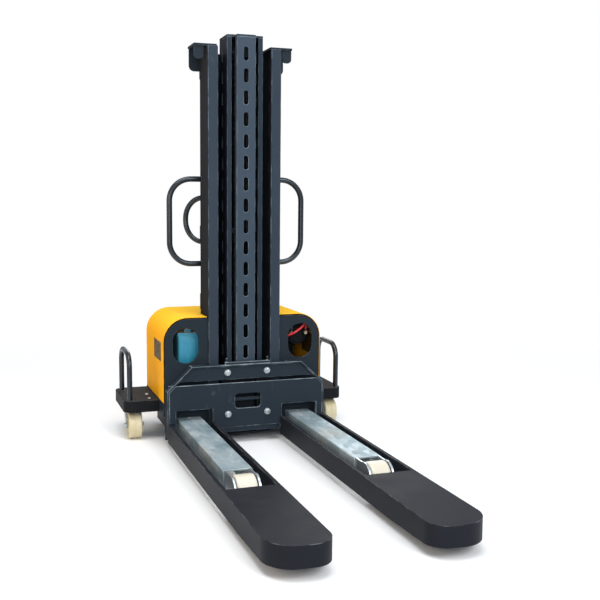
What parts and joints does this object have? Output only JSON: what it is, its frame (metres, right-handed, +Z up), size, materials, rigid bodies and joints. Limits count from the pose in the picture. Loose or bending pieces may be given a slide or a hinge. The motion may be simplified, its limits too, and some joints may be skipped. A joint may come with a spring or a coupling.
{
  "type": "self-loading stacker",
  "caption": "Walk-behind stacker with wide slotted fork arms over sliding straddle legs, a two-stage mast, side step platforms and a rear power hood.",
  "frame": {"origin": "on the ground under the middle of the bounding box, with the forks lowered and the legs pulled out", "axes": "+Z up, -Y the way the forks point, +Y towards the operator, +X to the right as seen from in front of the forks"},
  "size_m": [0.866, 1.57, 1.475],
  "materials": {
    "black_paint": "satin powder coat",
    "column_paint": "satin powder coat",
    "yellow_paint": "glossy paint",
    "galvanised": "galvanised, dull, with spangle",
    "zinc": "bright zinc plate",
    "roller_steel": "turned steel",
    "chrome_rod": "polished",
    "chain_steel": "oiled",
    "cream_nylon": "satin",
    "teal_plastic": "glossy",
    "grey_plastic": "matte",
    "black_plastic": "matte",
    "cable_red": "satin",
    "hose_rubber": "matte",
    "block_aluminium": "machined",
    "stop_red": "glossy",
    "button_white": "glossy",
    "button_green": "glossy",
    "vent_dark": "matte"
  },
  "bodies": {
    "chassis": {"chassis_frame": "black_paint", "front_bulkhead": "black_paint", "rear_hood": "yellow_paint", "hood_vent_panels": "vent_dark", "body_screws": "zinc", "outer_mast_channel_left": "black_paint", "outer_mast_channel_right": "black_paint", "mast_cross_ties": "black_paint", "mast_rear_guard": "black_paint", "mast_top_brackets": "black_paint", "lift_handles": "black_paint", "rear_push_handles": "black_paint", "side_platform_left": "black_paint", "side_platform_right": "black_paint", "step_guards": "black_paint", "lift_cylinder_tube": "black_paint", "hydraulic_hose": "hose_rubber", "battery_case": "teal_plastic", "battery_lid": "grey_plastic", "battery_cables": "cable_red", "lift_motor": "black_paint", "pump_and_valve_block": "block_aluminium", "oil_tank": "black_plastic", "motor_contactor": "black_plastic", "control_box": "black_plastic", "caster_top_plates": "zinc", "lift_chain_rear": "chain_steel"},
    "inner_mast": {"inner_mast_channel_left": "column_paint", "inner_mast_channel_right": "column_paint", "mast_front_column": "column_paint", "inner_mast_head": "column_paint", "lift_cylinder_rod": "chrome_rod", "lift_chain_over_sheaves": "chain_steel"},
    "chain_sheaves": {"chain_sheaves": "roller_steel"},
    "mast_rollers": {"mast_rollers": "roller_steel"},
    "carriage": {"carriage_frame": "black_paint", "carriage_front_plate": "black_paint", "carriage_bolts": "zinc", "carriage_roller_arms": "black_paint", "fork_left": "black_paint", "fork_right": "black_paint", "lift_chain_front": "chain_steel"},
    "carriage_rollers_upper": {"carriage_rollers_upper": "roller_steel"},
    "carriage_rollers_lower": {"carriage_rollers_lower": "roller_steel"},
    "leg_left": {"straddle_leg_left": "galvanised", "leg_roller_cheeks_left": "zinc"},
    "leg_right": {"straddle_leg_right": "galvanised", "leg_roller_cheeks_right": "zinc"},
    "load_roller_left": {"load_roller_left": "cream_nylon"},
    "load_roller_right": {"load_roller_right": "cream_nylon"},
    "leg_lock_pin_left": {"leg_lock_pin_left": "zinc"},
    "leg_lock_pin_right": {"leg_lock_pin_right": "zinc"},
    "caster_swivel_left": {"caster_fork_left": "zinc"},
    "caster_swivel_right": {"caster_fork_right": "zinc"},
    "caster_wheel_left": {"caster_wheel_left": "cream_nylon"},
    "caster_wheel_right": {"caster_wheel_right": "cream_nylon"},
    "key_switch": {"key_switch": "zinc"},
    "emergency_stop": {"emergency_stop_button": "stop_red"},
    "lift_button": {"lift_button": "button_white"},
    "lower_button": {"lower_button": "button_green"}
  },
  "joints": [
    {"name": "mast_lift", "type": "slide", "parent": "chassis", "child": "inner_mast", "axis": [0, 0, 1], "range_m": [0, 0.6], "deforming": ["lift_chain_rear"]},
    {"name": "carriage_lift", "type": "slide", "parent": "inner_mast", "child": "carriage", "axis": [0, 0, 1], "range_m": [0, 0.6], "deforming": ["lift_chain_front"]},
    {"name": "sheave_turn", "type": "hinge", "parent": "inner_mast", "child": "chain_sheaves", "pos_m": [0, 0.475, 1.425], "axis": [1, 0, 0], "continuous": true},
    {"name": "mast_roller_turn", "type": "hinge", "parent": "inner_mast", "child": "mast_rollers", "pos_m": [0, 0.48, 0.11], "axis": [1, 0, 0], "continuous": true},
    {"name": "carriage_roller_upper_turn", "type": "hinge", "parent": "carriage", "child": "carriage_rollers_upper", "pos_m": [0, 0.4715, 0.242], "axis": [1, 0, 0], "continuous": true},
    {"name": "carriage_roller_lower_turn", "type": "hinge", "parent": "carriage", "child": "carriage_rollers_lower", "pos_m": [0, 0.4715, 0.13], "axis": [1, 0, 0], "continuous": true},
    {"name": "leg_slide_left", "type": "slide", "parent": "chassis", "child": "leg_left", "axis": [0, 1, 0], "range_m": [0, 0.36]},
    {"name": "load_roller_turn_left", "type": "hinge", "parent": "leg_left", "child": "load_roller_left", "pos_m": [-0.211, -0.273, 0.05], "axis": [1, 0, 0], "continuous": true},
    {"name": "lock_pin_left", "type": "slide", "parent": "chassis", "child": "leg_lock_pin_left", "axis": [0, 0, 1], "range_m": [-0.014, 0]},
    {"name": "caster_swivel_left", "type": "hinge", "parent": "chassis", "child": "caster_swivel_left", "pos_m": [-0.391, 0.592, 0.13], "axis": [0, 0, 1], "continuous": true},
    {"name": "caster_wheel_turn_left", "type": "hinge", "parent": "caster_swivel_left", "child": "caster_wheel_left", "pos_m": [-0.391, 0.56, 0.05], "axis": [1, 0, 0], "continuous": true},
    {"name": "leg_slide_right", "type": "slide", "parent": "chassis", "child": "leg_right", "axis": [0, 1, 0], "range_m": [0, 0.36]},
    {"name": "load_roller_turn_right", "type": "hinge", "parent": "leg_right", "child": "load_roller_right", "pos_m": [0.211, -0.273, 0.05], "axis": [1, 0, 0], "continuous": true},
    {"name": "lock_pin_right", "type": "slide", "parent": "chassis", "child": "leg_lock_pin_right", "axis": [0, 0, 1], "range_m": [-0.014, 0]},
    {"name": "caster_swivel_right", "type": "hinge", "parent": "chassis", "child": "caster_swivel_right", "pos_m": [0.391, 0.592, 0.13], "axis": [0, 0, 1], "continuous": true},
    {"name": "caster_wheel_turn_right", "type": "hinge", "parent": "caster_swivel_right", "child": "caster_wheel_right", "pos_m": [0.391, 0.56, 0.05], "axis": [1, 0, 0], "continuous": true},
    {"name": "key_turn", "type": "hinge", "parent": "chassis", "child": "key_switch", "pos_m": [0.045, 0.601, 0.97], "axis": [0, 1, 0], "range_deg": [0, 90]},
    {"name": "emergency_stop_press", "type": "slide", "parent": "chassis", "child": "emergency_stop", "axis": [0, 1, 0], "range_m": [-0.006, 0]},
    {"name": "lift_button_press", "type": "slide", "parent": "chassis", "child": "lift_button", "axis": [0, 1, 0], "range_m": [-0.004, 0], "stiffness_N_per_m": 400},
    {"name": "lower_button_press", "type": "slide", "parent": "chassis", "child": "lower_button", "axis": [0, 1, 0], "range_m": [-0.004, 0], "stiffness_N_per_m": 400}
  ],
  "couplings": [
    {"joint": "carriage_lift", "follows": "mast_lift", "ratio": 1},
    {"joint": "sheave_turn", "follows": "mast_lift", "rad_per_m": -33.333},
    {"joint": "mast_roller_turn", "follows": "mast_lift", "rad_per_m": -22.371},
    {"joint": "carriage_roller_upper_turn", "follows": "mast_lift", "rad_per_m": 25.907},
    {"joint": "carriage_roller_lower_turn", "follows": "mast_lift", "rad_per_m": -25.907}
  ]
}
